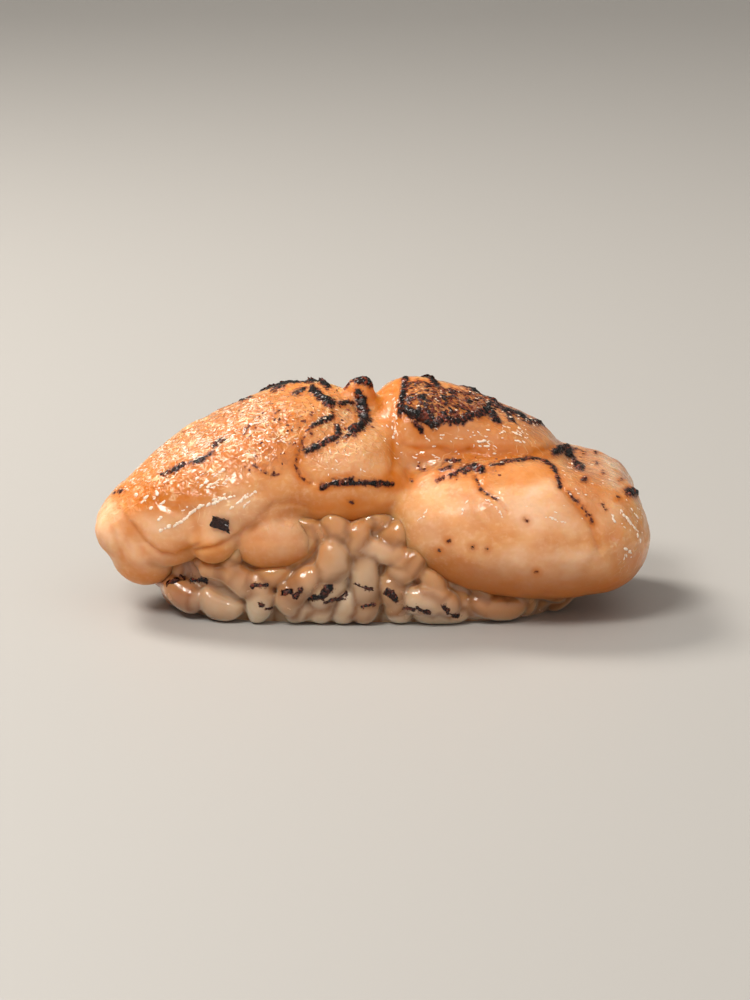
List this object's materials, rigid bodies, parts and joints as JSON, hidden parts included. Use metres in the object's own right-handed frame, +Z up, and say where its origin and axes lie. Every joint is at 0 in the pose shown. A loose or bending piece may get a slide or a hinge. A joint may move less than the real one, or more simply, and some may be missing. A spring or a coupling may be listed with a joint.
{
  "type": "torched scallop nigiri",
  "caption": "Butterflied scallop with a torched, charred top, draped over a pressed loaf of short-grain rice.",
  "frame": {"origin": "on the surface that the rice stands on, under the middle of the bounding box", "axes": "+X along the piece to the picture's right, +Y to the back, +Z up"},
  "size_m": [0.0678, 0.033, 0.0285],
  "materials": {
    "scallop": "moist, glossy seafood flesh, pale amber, with black and brown torched crust on top",
    "rice": "sticky, slightly translucent cooked rice, tinted amber near the flesh"
  },
  "bodies": {
    "root": {"scallop": "scallop", "rice": "rice"}
  },
  "joints": []
}
